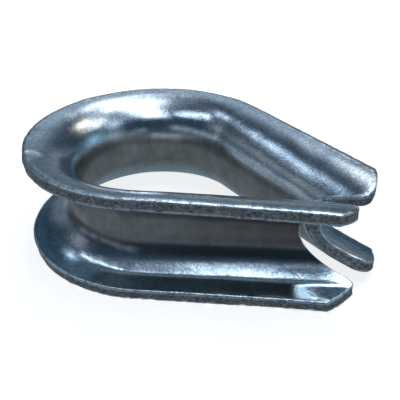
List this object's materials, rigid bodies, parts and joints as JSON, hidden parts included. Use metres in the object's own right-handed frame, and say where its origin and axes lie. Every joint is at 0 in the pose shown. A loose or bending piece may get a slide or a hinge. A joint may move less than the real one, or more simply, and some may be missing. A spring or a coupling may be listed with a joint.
{
  "type": "wire rope thimble",
  "caption": "Heavy open-point wire rope thimble: a teardrop of formed steel channel that lines a rope eye and carries the rope in its outer groove.",
  "frame": {"origin": "centre of the round eye, at mid height", "axes": "+Z along the axis of the eye, +X from the eye towards the point where the two legs meet, +Y towards one leg"},
  "size_m": [0.1342, 0.0974, 0.0398],
  "materials": {
    "zinc_coated_steel": "bright zinc coating, mottled, with scuffed and sheared edges"
  },
  "bodies": {
    "root": {"thimble": "zinc_coated_steel"}
  },
  "joints": []
}
